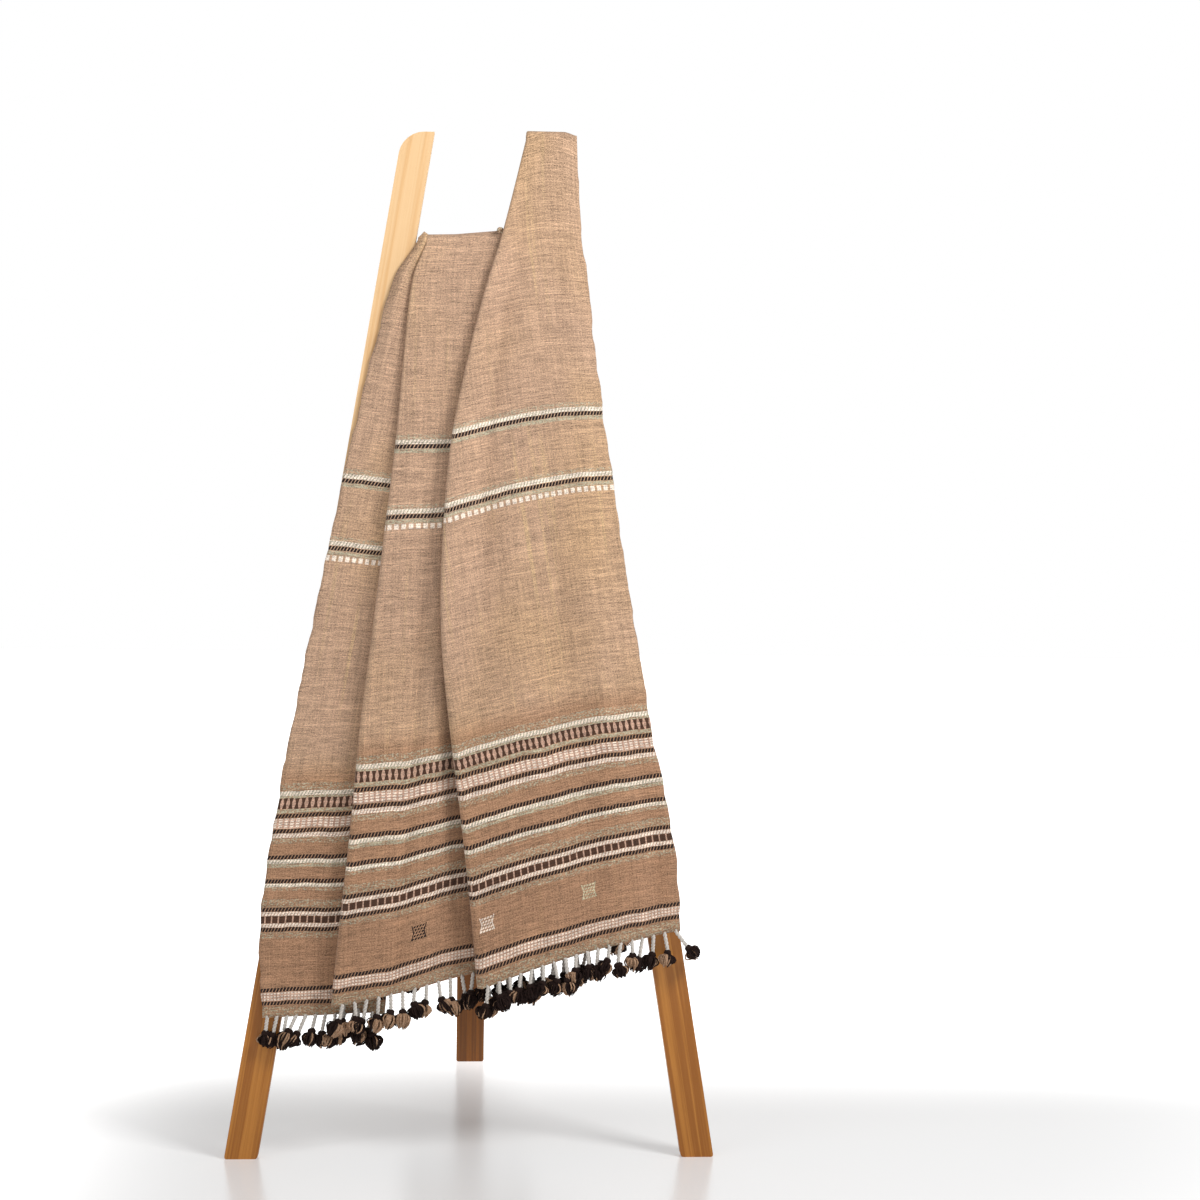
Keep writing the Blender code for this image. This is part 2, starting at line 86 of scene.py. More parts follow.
LINE_NAMES = ("right", "fold_2", "inner_2", "fold_1", "inner_1", "left")
FRONT_LINES = (
    # z, right, fold_2, inner_2, fold_1, inner_1, left
    (0.20, 0.318, 0.014, 0.197, -0.214, -0.134, -0.315),
    (0.35, 0.318, 0.000, 0.190, -0.201, -0.122, -0.323),
    (0.50, 0.303, -0.017, 0.182, -0.186, -0.108, -0.304),
    (0.65, 0.272, -0.037, 0.172, -0.174, -0.094, -0.280),
    (0.80, 0.246, -0.052, 0.163, -0.157, -0.077, -0.251),
    (0.95, 0.223, -0.051, 0.155, -0.141, -0.058, -0.224),
    (1.10, 0.200, -0.039, 0.146, -0.125, -0.038, -0.193),
    (1.25, 0.180, -0.010, 0.136, -0.113, -0.014, -0.159),
    (1.35, 0.168, 0.015, 0.128, -0.102, 0.008, -0.131),
    (1.42, 0.158, 0.036, 0.124, -0.079, 0.027, -0.092),
    (1.58, 0.150, 0.074, 0.120, -0.078, 0.028, -0.091),
)
BACK_LINES = (
    # z, right, fold_2, inner_2, fold_1, inner_1, left, as distances along the tent from the rear leg
    (0.20, 0.580, 0.215, 0.385, -0.070, 0.006, -0.200),
    (0.60, 0.422, 0.180, 0.290, -0.068, 0.010, -0.165),
    (1.00, 0.267, 0.130, 0.205, -0.072, 0.018, -0.130),
    (1.42, 0.158, 0.080, 0.126, -0.079, 0.027, -0.093),
    (1.58, 0.150, 0.074, 0.120, -0.078, 0.028, -0.091),
)
FOLD_HEIGHTS = {
    # front hem, back hem, edge
    "right": (0.347, 0.338, RAIL_TOP_Z),
    "fold_2": (0.263, 0.296, RAIL_TOP_Z),
    "inner_2": (0.320, 0.318, RAIL_TOP_Z),
    "fold_1": (0.236, 0.222, 1.406),
    "inner_1": (0.222, 0.226, 1.405),
    "left": (0.214, 0.206, 1.409),
}
PANELS = (
    # name, starts at, ends at, cells, tassels a cell, columns here, where its warp starts
    ("right_panel", "right", "fold_2", 9, 2, 46, 0.00),
    ("under_right", "fold_2", "inner_2", 5, 2, 18, 0.40),
    ("middle_panel", "inner_2", "fold_1", 11, 2, 56, 0.75),
    ("under_middle", "fold_1", "inner_1", 3, 1, 10, 1.10),
    ("left_panel", "inner_1", "left", 6, 2, 26, 1.35),
)
MIDDLE_EDGE = (
    # cell, x, z
    (0, 0.120, RAIL_TOP_Z),
    (1, 0.0980, RAIL_TOP_Z),
    (2, 0.0790, RAIL_TOP_Z),
    (5, 0.0470, 1.4195),
    (6, 0.0260, 1.4130),
    (9, -0.0350, 1.4065),
    (11, -0.0780, 1.4050),
)
FLAT_SIZE = (1.2, 2.5)
WARP_JUMP = 0.05

# Finer steps
FRONT_ROWS = 148
BACK_ROWS = 84
RIDGE_ARC_STEPS = 5
TURN_STEPS = 6

# The selvedges' slow waves and small loops of weft, as depths
SLOW_WAVE = 0.0010
SHORT_WAVE = 0.0007
WEFT_LOOP = 0.0011
# How fast they die out inwards, on the right and on the left panel, and start below the ridge
SELVEDGE_RATES = (10, 6)
SELVEDGE_START = 12

# How far the hem and the weft lines bow upwards in the middle of the right panel
WEFT_BOW = 0.010

# Heights over the front hem of six weft lines, each named by its distance along the cloth
WEFT_LINES = (0.041, 0.163, 0.306, 0.708, 0.807, 1.258)
WEFT_HEIGHTS = {
    "right": (0.039, 0.157, 0.298, 0.696, 0.795, 1.218),
    "fold_2": (0.047, 0.163, 0.3175, 0.724, 0.837, 1.305),
    "inner_2": (0.037, 0.153, 0.286, 0.675, 0.775, 1.226),
    "fold_1": (0.0424, 0.1624, 0.3237, 0.740, 0.848, 1.299),
    "inner_1": (0.044, 0.157, 0.3075, 0.692, 0.793, 1.244),
    "left": (0.0388, 0.1602, 0.302, 0.7156, 0.8187, 1.2697),
}

# Where a soft fold shifts the weft lines of the front's lower half
WEFT_SHIFTS = (
    # panel, part of its width, half width, shift of the cloth
    ("middle_panel", 0.80, 0.060, 0.0042),
    ("middle_panel", 0.60, 0.080, -0.0028),
    ("left_panel", 0.45, 0.140, 0.0025),
    ("right_panel", 0.55, 0.060, 0.0022),
    ("right_panel", 0.25, 0.050, -0.0018),
)

# Soft creases. A positive depth comes forward. They fade in and out over parts of the drop, and
# towards a panel's edges.
CREASE_FADE_IN = 0.18
CREASE_FADE_OUT = 0.12
CREASE_EDGE_RATE = 12
CREASES = (
    # panel, part of its width at the top, at the hem, starts (part of the drop), ends, depth, half width
    ("middle_panel", 0.78, 0.74, 0.00, 0.48, -0.0016, 0.016),
    ("middle_panel", 0.92, 0.88, 0.02, 0.50, 0.0030, 0.014),
    ("middle_panel", 0.52, 0.46, 0.06, 1.05, -0.0046, 0.022),
    ("middle_panel", 0.76, 0.78, 0.40, 1.05, -0.0075, 0.015),
    ("middle_panel", 0.64, 0.67, 0.45, 1.05, 0.0045, 0.018),
    ("middle_panel", 0.90, 0.90, 0.50, 1.05, 0.0035, 0.018),
    ("right_panel", 0.40, 0.40, 0.38, 1.05, -0.0060, 0.024),
    ("right_panel", 0.66, 0.62, 0.30, 1.05, 0.0045, 0.030),
    ("right_panel", 0.80, 0.78, 0.10, 0.62, -0.0045, 0.018),
    ("right_panel", 0.24, 0.20, 0.50, 1.05, 0.0045, 0.020),
    ("right_panel", 0.12, 0.10, 0.62, 1.05, -0.0040, 0.014),
    ("left_panel", 0.94, 0.40, -1.00, 0.24, 0.0105, 0.013),
    ("left_panel", 0.30, 0.22, 0.14, 1.05, -0.0080, 0.014),
    ("left_panel", 0.62, 0.60, 0.25, 0.95, -0.0050, 0.014),
    ("left_panel", 0.80, 0.84, 0.30, 1.05, 0.0030, 0.016),
)


def srgb(red, green, blue):
    """A colour of 0 to 255 as the shaders' linear values."""
    parts = [channel / 255 for channel in (red, green, blue)]
    return tuple(p / 12.92 if p <= 0.04045 else ((p + 0.055) / 1.055)**2.4 for p in parts) + (1.0,)


ROSY = srgb(176, 144, 119)
GOLDEN = srgb(178, 145, 112)
PALE_GOLD = srgb(194, 165, 122)
RUST = srgb(156, 117, 88)
SAGE = srgb(172, 164, 140)
CREAM = srgb(226, 210, 194)
PINK = srgb(186, 150, 129)
BROWN = srgb(72, 47, 33)
DARK = srgb(30, 18, 15)


# Shape of the throw

def smooth_step(value):
    """A soft step from 0 to 1."""
    value = max(0.0, min(1.0, value))
    return value * value * (3.0 - 2.0 * value)


def selvedge_wander(side, z):
    """How far a selvedge strays sideways: slow waves with small loops of weft on them."""
    slow = SLOW_WAVE * sin(31.0 * z + 2.0 * side + 2.0 * sin(11.0 * z)) + SHORT_WAVE * sin(97.0 * z + side)
    loops = WEFT_LOOP * sin(733.0 * z + 3.0 * sin(57.0 * z)) * (0.5 + 0.5 * sin(151.0 * z + side))
    return slow, loops


def cubic(rows, column, z):
    """A smooth curve through a table's column, by height."""
    z = max(rows[0][0], min(rows[-1][0], z))
    low = max(i for i in range(len(rows) - 1) if rows[i][0] <= z)
    slopes = []
    for i in (low, low + 1):
        before, after = rows[max(i - 1, 0)], rows[min(i + 1, len(rows) - 1)]
        slopes.append((after[column] - before[column]) / (after[0] - before[0]))
    span = rows[low + 1][0] - rows[low][0]
    t = (z - rows[low][0]) / span
    a, b = rows[low][column], rows[low + 1][column]
    return (
        (2 * t**3 - 3 * t**2 + 1) * a + (t**3 - 2 * t**2 + t) * span * slopes[0]
        + (3 * t**2 - 2 * t**3) * b + (t**3 - t**2) * span * slopes[1]
    )


def line_x(table, name, z):
    return cubic(table, LINE_NAMES.index(name) + 1, z)


def between(pairs, value):
    """A straight line through (from, to) pairs, kept on beyond the last."""
    low = max([i for i in range(len(pairs) - 1) if pairs[i][0] <= value] or [0])
    (a0, b0), (a1, b1) = pairs[low], pairs[low + 1]
    return b0 + (b1 - b0) * (value - a0) / (a1 - a0)


def face_y(z):
    """The rails' front face."""
    return FRONT_FACE_Y + RAIL_LEAN * z


def leg_back_y(z):
    return FRONT_FACE_Y + LEG_TOP_BACK_Y + LEG_SLOPE * (LEG_TOP_Z - z)


def middle_edge(cell):
    """The stepped line over which the middle panel hangs."""
    cell = max(MIDDLE_EDGE[0][0], min(MIDDLE_EDGE[-1][0], cell))
    low = max(i for i in range(len(MIDDLE_EDGE) - 1) if MIDDLE_EDGE[i][0] <= cell)
    (c0, x0, z0), (c1, x1, z1) = MIDDLE_EDGE[low], MIDDLE_EDGE[low + 1]
    part = (cell - c0) / (c1 - c0)
    return Vector((x0 + (x1 - x0) * part, z0 + (z1 - z0) * part))


def edge_place(column):
    """Where a column passes over the stand, and the direction away from it."""
    index, along, _ = column
    name, starts, ends, cells = PANELS[index][:4]
    if name == "middle_panel":
        run = middle_edge(along * cells + 1) - middle_edge(along * cells - 1)
        return middle_edge(along * cells), Vector((run.y, -run.x)).normalized()
    z = FOLD_HEIGHTS[starts][2] * (1 - along) + FOLD_HEIGHTS[ends][2] * along
    x0, x1 = line_x(FRONT_LINES, starts, z), line_x(FRONT_LINES, ends, z)
    return Vector((x0 + (x1 - x0) * along, z)), Vector((0.0, 1.0))


def hem_z(column, back):
    index, along, _ = column
    name, starts, ends = PANELS[index][:3]
    side = 1 if back else 0
    level = FOLD_HEIGHTS[starts][side] * (1 - along) + FOLD_HEIGHTS[ends][side] * along
    bow = WEFT_BOW * sin(pi * min(along, 1.0)) if name == "right_panel" else 0.0
    return level + bow


def pitch(down, back):
    """The distance from one layer of cloth to the next."""
    at_hem = BACK_PITCH_AT_HEM if back else FRONT_PITCH_AT_HEM
    return PITCH_AT_RIDGE + (at_hem - PITCH_AT_RIDGE) * smooth_step(down * PITCH_GROWTH)


def base_clear(down, back):
    at_hem = BACK_CLEAR_AT_HEM if back else FRONT_CLEAR_AT_HEM
    return CLEAR_AT_RIDGE + (at_hem - CLEAR_AT_RIDGE) * smooth_step(down)


def crease_depth(name, along, down, width):
    depth = 0.0
    for panel, top, hem, starts, ends, deep, half in CREASES:
        if panel != name or not starts < down < ends:
            continue
        place = top + (hem - top) * down
        near = (along - place) * width / half
        fade = smooth_step((down - starts) / CREASE_FADE_IN) * smooth_step((ends - down) / CREASE_FADE_OUT)
        depth += deep * fade / (1 + near * near)**2
    return depth


def section_point(column, z, down, table, edge_x):
    """A column's place across the cloth at one height, its shift sideways and how far out it lies."""
    back = table is BACK_LINES
    index, along, angle = column
    name, starts, ends = PANELS[index][:3]
    gap = pitch(down, back)
    roll = gap / 2
    x0, x1 = line_x(table, starts, z), line_x(table, ends, z)
    towards = 1 if ends in ("fold_1", "fold_2", "left") else -1
    start_trim = 0.0 if starts == "right" else -towards * roll
    end_trim = 0.0 if ends == "left" else towards * roll
    if name == "middle_panel" and 0.0 < along < 1.0:
        edge_part = (MIDDLE_EDGE[0][1] - edge_x) / (MIDDLE_EDGE[0][1] - MIDDLE_EDGE[-1][1])
        along += (edge_part - along) * smooth_step(1 - down)**2
    x = x0 + (x1 - x0) * along
    aside = start_trim + (end_trim - start_trim) * along
    inner_1, inner_2 = line_x(table, "inner_1", z), line_x(table, "inner_2", z)
    over_left = 1 - smooth_step((x - inner_1 - LIFT_START) / (LIFT_SLOPE * gap))
    over_right = 1 - (1 - RIGHT_PANEL_REST) * smooth_step((x - inner_2 - LIFT_START) / (LIFT_SLOPE * gap))
    layers = (
        2.0 * over_left + 2.0 * over_right,
        2.0 * over_left + 1.0,
        2.0 * over_left,
        1.0,
        0.0,
    )
    out = layers[index] * gap
    if ends == "fold_1":
        out = max(out, 2.0 * gap * over_left)
    if angle is not None:
        aside = towards * roll * (1 - sin(angle))
        out = (layers[index] + layers[index + 1]) / 2 * gap + roll * cos(angle)
    if name == "right_panel" and not back:
        wave = sin(pi * along) * sin(SWELL_TURNS * pi * along + SWELL_DRIFT * z)
        out += SWELL_DEPTH * smooth_step(down * SWELL_GROWTH) * (1 + wave) / 2
    if name in ("right_panel", "left_panel") and angle is None:
        side, inward, rate = (1, along, SELVEDGE_RATES[0])
        if name == "left_panel":
            side, inward, rate = (-1, 1 - along, SELVEDGE_RATES[1])
        share = 1 - inward * rate
        if share > 0:
            slow, loops = selvedge_wander(side, z)
            stray = slow * smooth_step(share) + loops * (share > 0.999)
            aside += stray * smooth_step(down * SELVEDGE_START)
    if angle is None:
        inner = smooth_step(min(along, 1 - along) * CREASE_EDGE_RATE)
        out += crease_depth(name, along, down, abs(x1 - x0)) * inner
    return x, aside, base_clear(down, back) + out


def tent_point(along, aside, out, z):
    """The same place on the tent that the back makes over the rear leg."""
    right_y = face_y(RAIL_TOP_Z) + RIDGE_DEPTH_RAIL
    right_x = TENT_RIGHT_X + TENT_SPREAD * (RAIL_TOP_Z - z)
    apex_y = leg_back_y(min(z, LEG_TOP_Z))
    fall = atan2(apex_y - right_y, right_x - LEG_HALF_CLEAR)
    along += aside
    sign = 1 if along > 0 else -1
    beyond = abs(along) - LEG_HALF_CLEAR
    rounded = hypot(beyond, TENT_ROUND)
    down_side = (beyond + rounded) / 2
    turned = fall * (1 + beyond / rounded) / 2
    x = abs(along) - down_side * (1 - cos(fall)) + out * sin(turned)
    return Vector((sign * x, apex_y - down_side * sin(fall) + out * cos(turned), z))


def ridge_depth(z):
    part = smooth_step((RAIL_TOP_Z - z) / (RAIL_TOP_Z - CROSS_TOP_Z))
    return RIDGE_DEPTH_RAIL + (RIDGE_DEPTH_CROSS - RIDGE_DEPTH_RAIL) * part


def throw_columns():
    """Panel, part of its width, and the angle round the fold where there is one."""
    columns = []
    for index, panel in enumerate(PANELS):
        count = panel[5]
        columns += [(index, step / count, None) for step in range(count + 1)]
        if index < len(PANELS) - 1:
            columns += [(index, 1.0, step * pi / TURN_STEPS) for step in range(1, TURN_STEPS)]
    return columns


def column_points(column):
    """The column's points, from the front hem over the ridge to the back hem."""
    (edge_x, edge_z), up = edge_place(column)
    points = []
    low = hem_z(column, back=False)
    for row in range(FRONT_ROWS):
        z = low + (edge_z - low) * row / FRONT_ROWS
        x, aside, out = section_point(column, z, 1 - row / FRONT_ROWS, FRONT_LINES, edge_x)
        points.append(Vector((x + aside, face_y(z) - out, z)))
    x, aside, out = section_point(column, edge_z, 0.0, FRONT_LINES, edge_x)
    front_corner = Vector((x + aside, face_y(edge_z), edge_z))
    back_corner = front_corner + Vector((0.0, ridge_depth(edge_z), 0.0))
    for corner, start in ((front_corner, 0.0), (back_corner, pi / 2)):
        for step in range(RIDGE_ARC_STEPS + 1):
            angle = start + step * pi / 2 / RIDGE_ARC_STEPS
            points.append(corner + out * Vector((up.x * sin(angle), -cos(angle), up.y * sin(angle))))
    ridge_end = points[-1]
    start = tent_point(*section_point(column, edge_z, 0.0, BACK_LINES, edge_x), edge_z)
    low = hem_z(column, back=True)
    for row in range(1, BACK_ROWS + 1):
        down = row / BACK_ROWS
        z = edge_z + (low - edge_z) * down
        settled = tent_point(*section_point(column, z, down, BACK_LINES, edge_x), z)
        points.append(settled + (ridge_end - start) * (1 - down)**SETTLE_POWER)
    return points


def cloth_place(column, points):
    """Distances across and along the cloth for a column's points. The distance along runs from the front
    hem to the back one, which is the flat length away at each column."""
    index, along, angle = column
    name, starts, ends = PANELS[index][:3]
    warp = PANELS[index][6]
    heights = [(0.0, 0.0)]
    for line, a, b in zip(WEFT_LINES, WEFT_HEIGHTS[starts], WEFT_HEIGHTS[ends]):
        heights.append((a * (1 - along) + b * along, line))
    places = []
    travelled = 0.0
    for number, point in enumerate(points):
        if number:
            travelled += (point - points[number - 1]).length
        height = point.z - points[0].z
        if number < FRONT_ROWS and height <= heights[-1][0]:
            v = between(heights, height)
            base_v, base_travelled = v, travelled
        else:
            v = base_v + travelled - base_travelled
        for panel, part, half, shift in WEFT_SHIFTS:
            if panel == name and number < FRONT_ROWS:
                near = (along - part) / half
                v += shift / (1 + near * near) * smooth_step((1 - number / FRONT_ROWS) * 2 - 0.6)
        table = FRONT_LINES if number < FRONT_ROWS + RIDGE_ARC_STEPS + 1 else BACK_LINES
        width = abs(line_x(table, ends, point.z) - line_x(table, starts, point.z))
        u = warp + (along if name == "right_panel" else along - 0.5) * width
        if angle is not None:
            u += angle * pitch(1.0, False) / 2
        places.append((u, v))
    ridge_v, end_v = places[FRONT_ROWS][1], places[-1][1]
    stretch = (FLAT_SIZE[1] - ridge_v) / (end_v - ridge_v)
    return places[:FRONT_ROWS] + [(u, ridge_v + (v - ridge_v) * stretch) for u, v in places[FRONT_ROWS:]]


def add_piece(name, mesh, node=None):
    piece = bpy.data.objects.new(name, mesh)
    bpy.context.scene.collection.objects.link(piece)
    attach(piece, "root")
    if node:
        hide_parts(node)
    return piece


def measure_back(columns, points, places):
    """Behind the stand the cloth turns over the rear leg, so its warp is measured on the surface."""
    for row in range(FRONT_ROWS + 2 * (RIDGE_ARC_STEPS + 1), len(points[0])):
        for number in range(1, len(columns)):
            if columns[number][0] == columns[number - 1][0]:
                across = points[number][row] - points[number - 1][row]
                u = places[number - 1][row][0] + hypot(across.x, across.y)
                places[number][row] = (u, places[number][row][1])


def make_throw():
    columns = throw_columns()
    points = [column_points(column) for column in columns]
    places = [cloth_place(column, line) for column, line in zip(columns, points)]
    measure_back(columns, points, places)
    shape = bmesh.new()
    layer = shape.loops.layers.uv.new("weave")
    grid = [[shape.verts.new(point) for point in line] for line in points]
    for left in range(len(grid) - 1):
        for row in range(len(grid[0]) - 1):
            corners = ((left, row), (left, row + 1), (left + 1, row + 1), (left + 1, row))
            face = shape.faces.new([grid[c][r] for c, r in corners])
            face.smooth = True
            base = places[left][row][0]
            for loop, (c, r) in zip(face.loops, corners):
                u, v = places[c][r]
                # Between two panels the warp is measured from the first one's
                if c != left and abs(u - base) > WARP_JUMP:
                    u = base + (grid[c][r].co - grid[left][r].co).length
                loop[layer].uv = (u, v)
    mesh = bpy.data.meshes.new("woven_throw")
    shape.to_mesh(mesh)
    shape.free()
    piece = add_piece("woven_throw", mesh, "throw")
    solid = piece.modifiers.new("thickness", "SOLIDIFY")
    solid.thickness = SHEET
    solid.offset = 0.0
    mesh.materials.append(wool_material())
    return piece


# Rolled cloth on the crosspiece, where the middle panel is gathered
CURL_CENTRE = (0.0318, 1.4235)
CURL_RADIUS = 0.0034
CURL_START_OUT = 0.0130
CURL_OUT = 0.0070
CURL_STEPS = 14
CURL_TUBE = 0.0036
CURL_ENDS = 0.55
CURL_TURN = (-70, 330)
CURL_SHRINK = 0.3
CURL_WEAVE = (1.9, 0.9)
ROLL_SIDES = 12


def make_curl(name):
    """The gathered cloth's edge, rolled up with a hollow that opens to the front."""
    path, radii = [], []
    for step in range(CURL_STEPS + 1):
        part = step / CURL_STEPS
        angle = radians(CURL_TURN[0] + CURL_TURN[1] * part)
        radius = CURL_RADIUS * (1 - CURL_SHRINK * part)
        x = CURL_CENTRE[0] + radius * cos(angle)
        z = CURL_CENTRE[1] + radius * sin(angle)
        path.append(Vector((x, face_y(z) - CURL_START_OUT - CURL_OUT * part, z)))
        radii.append(CURL_TUBE * (CURL_ENDS + (1 - CURL_ENDS) * sin(pi * part)))
    shape = bmesh.new()
    add_tube(shape, path, radii, ROLL_SIDES, 0)
    layer = shape.loops.layers.uv.new("weave")
    for face in shape.faces:
        for loop in face.loops:
            place = loop.vert.co
            loop[layer].uv = (CURL_WEAVE[0] + place.x + place.y, CURL_WEAVE[1] + place.z)
    mesh = bpy.data.meshes.new(name)
    shape.to_mesh(mesh)
    shape.free()
    piece = add_piece(name, mesh)
    smooth = piece.modifiers.new("soft", "SUBSURF")
    smooth.levels = smooth.render_levels = 1
    mesh.materials.append(bpy.data.materials["striped_wool"])
    return piece


# Fringe

CORD_LENGTH = 0.0200
CORD_TURNS = 2.5
CORD_STEPS = 12
CORD_PLY = 0.0019
HEAD_WIDTH = 0.0130
HEAD_HEIGHT = 0.0110
SKIRT_STRANDS = 66
SKIRT_STEPS = 4
SKIRT_LENGTH = 0.0205
SKIRT_FLARE = 0.0112
STRAND_RADIUS = 0.0013
BEIGE_SHARES = (0.0, 0.10, 0.20, 0.30, 0.45)
FRINGE_SEED = 11
SWUNG_TASSELS = (1.00, 0.42)
SWUNG_FORWARD = -0.10
LEFT_PANEL_SWING = -0.42
STRIP_DROP = 0.004
CORD_IN_HEM = 0.002
CORD_RANGE = (0.70, 1.35)
CORD_SWING = (0.26, 0.14)
PLY_SPREAD = 0.8
HEAD_ROUGHNESS = 0.10
HEAD_RANGE = (0.9, 1.15)
SKIRT_RANGE = (0.85, 1.15)
# The angle from one strand to the next, which spreads them evenly
STRAND_TURN = 2.39996
STRAND_START = 0.0020
STRAND_STRAY = 0.0016
STRAY_BEIGE = 0.10


def tassel_roots(back):
    """Where each cord leaves the hem, and the sheet's direction there."""
    roots = []
    for index, panel in enumerate(PANELS):
        cells, tassels = panel[3:5]
        for cell in range(cells):
            for tassel in range(tassels):
                along = (cell + (tassel + 0.5) / tassels) / cells
                line = column_points((index, along, None))
                hem, inside = (line[-1], line[-2]) if back else (line[0], line[1])
                roots.append((hem, (hem - inside).normalized(), panel[0]))
    return roots


def hang_direction(root, order, panel, back):
    if back:
        on_leg = 1 - smooth_step(abs(root.x) / LEG_HALF_CLEAR / 2 - 1)
        return Vector((0.0, LEG_SLOPE * on_leg, -1.0)).normalized()
    if order < len(SWUNG_TASSELS):
        return Vector((SWUNG_TASSELS[order], SWUNG_FORWARD, -1.0)).normalized()
    if panel == "left_panel":
        return Vector((LEFT_PANEL_SWING, 0.0, -1.0)).normalized()
    return Vector((0.0, 0.0, -1.0))


def add_tube(shape, path, radii, sides, kind):
    """A closed tube of a few sides along a path."""
    rings = []
    for number, point in enumerate(path):
        before, after = path[max(number - 1, 0)], path[min(number + 1, len(path) - 1)]
        run = (after - before).normalized()
        side = run.cross(Vector((0.31, 0.94, 0.12))).normalized()
        other = run.cross(side)
        ring = []
        for corner in range(sides):
            angle = corner * 2 * pi / sides
            ring.append(shape.verts.new(point + (side * cos(angle) + other * sin(angle)) * radii[number]))
        rings.append(ring)
    faces = []
    for ring, following in zip(rings, rings[1:]):
        for corner in range(sides):
            other = (corner + 1) % sides
            faces.append(shape.faces.new((ring[corner], ring[other], following[other], following[corner])))
    faces.append(shape.faces.new(list(reversed(rings[0]))))
    faces.append(shape.faces.new(rings[-1]))
    for face in faces:
        face.material_index = kind
        face.smooth = True


def add_cord(shape, top, end, chance):
    """Two plies twisted round each other."""
    run = end - top
    side = run.cross(Vector((0.0, 1.0, 0.2))).normalized()
    other = run.normalized().cross(side)
    start = chance.uniform(0.0, 2 * pi)
    for ply in (0.0, pi):
        path = []
        for step in range(CORD_STEPS + 1):
            part = step / CORD_STEPS
            angle = start + ply + part * CORD_TURNS * 2 * pi
            path.append(top + run * part + (side * cos(angle) + other * sin(angle)) * CORD_PLY * PLY_SPREAD)
        add_tube(shape, path, [CORD_PLY] * len(path), 4, 0)


def add_head(shape, centre, down, size, chance):
    """A ball of wound wool."""
    made = bmesh.ops.create_uvsphere(shape, u_segments=10, v_segments=7, radius=0.5)
    turn = Vector((0.0, 0.0, -1.0)).rotation_difference(down).to_matrix()
    for vert in made["verts"]:
        rough = 1 + chance.uniform(-HEAD_ROUGHNESS, HEAD_ROUGHNESS)
        x, y, z = vert.co
        vert.co = centre + turn @ Vector((x * size * rough, y * size * rough, z * HEAD_HEIGHT * rough))
    for face in {face for vert in made["verts"] for face in vert.link_faces}:
        face.material_index = 0
        face.smooth = True


def add_skirt(shape, neck, down, length, chance):
    """Cut ends of wool that bulge out and hang, some of them beige."""
    side = down.cross(Vector((0.0, 1.0, 0.1))).normalized()
    other = down.cross(side)
    beige_from, beige = chance.uniform(0.0, 2 * pi), chance.choice(BEIGE_SHARES) * pi
    for strand in range(SKIRT_STRANDS):
        turn = strand * STRAND_TURN + chance.uniform(-0.2, 0.2)
        reach = (0.15 + 0.85 * (strand / SKIRT_STRANDS)**0.6) * chance.uniform(0.75, 1.20)
        outward = side * cos(turn) + other * sin(turn)
        drop = length * chance.uniform(0.72, 1.10) * (1.08 - 0.25 * reach)
        stray = side * chance.uniform(-STRAND_STRAY, STRAND_STRAY)
        stray += other * chance.uniform(-STRAND_STRAY, STRAND_STRAY)
        path = []
        for step in range(SKIRT_STEPS + 1):
            part = step / SKIRT_STEPS
            bulge = SKIRT_FLARE * reach * sin(part**0.75 * pi * 0.84)
            path.append(neck + down * drop * part + outward * (STRAND_START + bulge) + stray * part)
        radii = [STRAND_RADIUS] * SKIRT_STEPS + [STRAND_RADIUS * 0.7]
        near = abs((turn - beige_from + pi) % (2 * pi) - pi)
        kind = 1 if near < beige or chance.random() < STRAY_BEIGE else 0
        add_tube(shape, path, radii, 3, kind)


def make_fringe(name, node, back):
    chance = random.Random(FRINGE_SEED + back)
    cords, tassels = bmesh.new(), bmesh.new()
    for order, (hem, drop, panel) in enumerate(tassel_roots(back)):
        down = hang_direction(hem, order, panel, back)
        swing = Vector([chance.uniform(-reach, reach) for reach in CORD_SWING] + [0.0])
        down = (down + swing).normalized()
        end = hem + drop * STRIP_DROP + down * CORD_LENGTH * chance.uniform(*CORD_RANGE)
        add_cord(cords, hem - drop * CORD_IN_HEM, end, chance)
        tipped = Vector((chance.uniform(-0.55, 0.55), chance.uniform(-0.20, 0.15), 0.0))
        down = (down + tipped).normalized()
        head = end + down * HEAD_HEIGHT * 0.30
        add_head(tassels, head, down, HEAD_WIDTH * chance.uniform(*HEAD_RANGE), chance)
        neck = head + down * HEAD_HEIGHT * 0.10
        add_skirt(tassels, neck, down, SKIRT_LENGTH * chance.uniform(*SKIRT_RANGE), chance)
    pieces = []
    for label, shape in (("cords", cords), ("tassels", tassels)):
        mesh = bpy.data.meshes.new(f"{name}_{label}")
        shape.to_mesh(mesh)
        shape.free()
        piece = add_piece(f"{name}_{label}", mesh, node)
        pieces.append(piece)
    pieces[0].data.materials.append(cord_material())
    pieces[1].data.materials.append(tassel_material("dark_wool", srgb(24, 14, 12), srgb(50, 33, 28)))
    pieces[1].data.materials.append(tassel_material("beige_wool", srgb(150, 112, 84), srgb(206, 174, 146)))
    return pieces


# Materials

